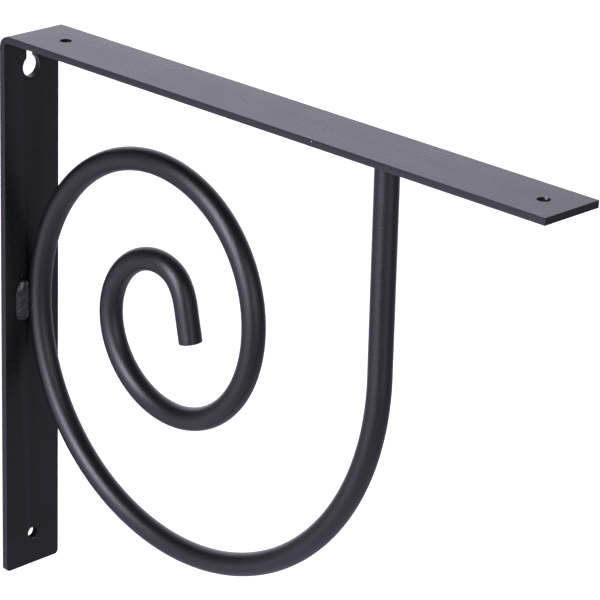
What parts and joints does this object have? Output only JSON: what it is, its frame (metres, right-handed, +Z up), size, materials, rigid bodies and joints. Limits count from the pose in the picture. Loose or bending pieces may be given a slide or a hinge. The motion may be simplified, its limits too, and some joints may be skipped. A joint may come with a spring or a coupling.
{
  "type": "scroll shelf bracket",
  "caption": "Wall bracket for a shelf: a flat steel angle with a keyhole and screw holes, braced by a round bar bent into a spiral.",
  "frame": {"origin": "middle of the leg's back face, which lies on the wall", "axes": "+X from the wall out along the arm, +Z up towards the shelf, Y across the flat bar"},
  "size_m": [0.3, 0.03, 0.25],
  "materials": {
    "angle_bar": "matte black powder coat with a fine orange-peel texture",
    "scroll_bar": "matte black powder coat with a fine orange-peel texture",
    "wall_weld": "matte black powder coat over a rippled weld bead",
    "shelf_weld": "matte black powder coat over a weld bead"
  },
  "bodies": {
    "root": {"angle_bar": "angle_bar", "scroll_bar": "scroll_bar", "wall_weld": "wall_weld", "shelf_weld": "shelf_weld"}
  },
  "joints": []
}
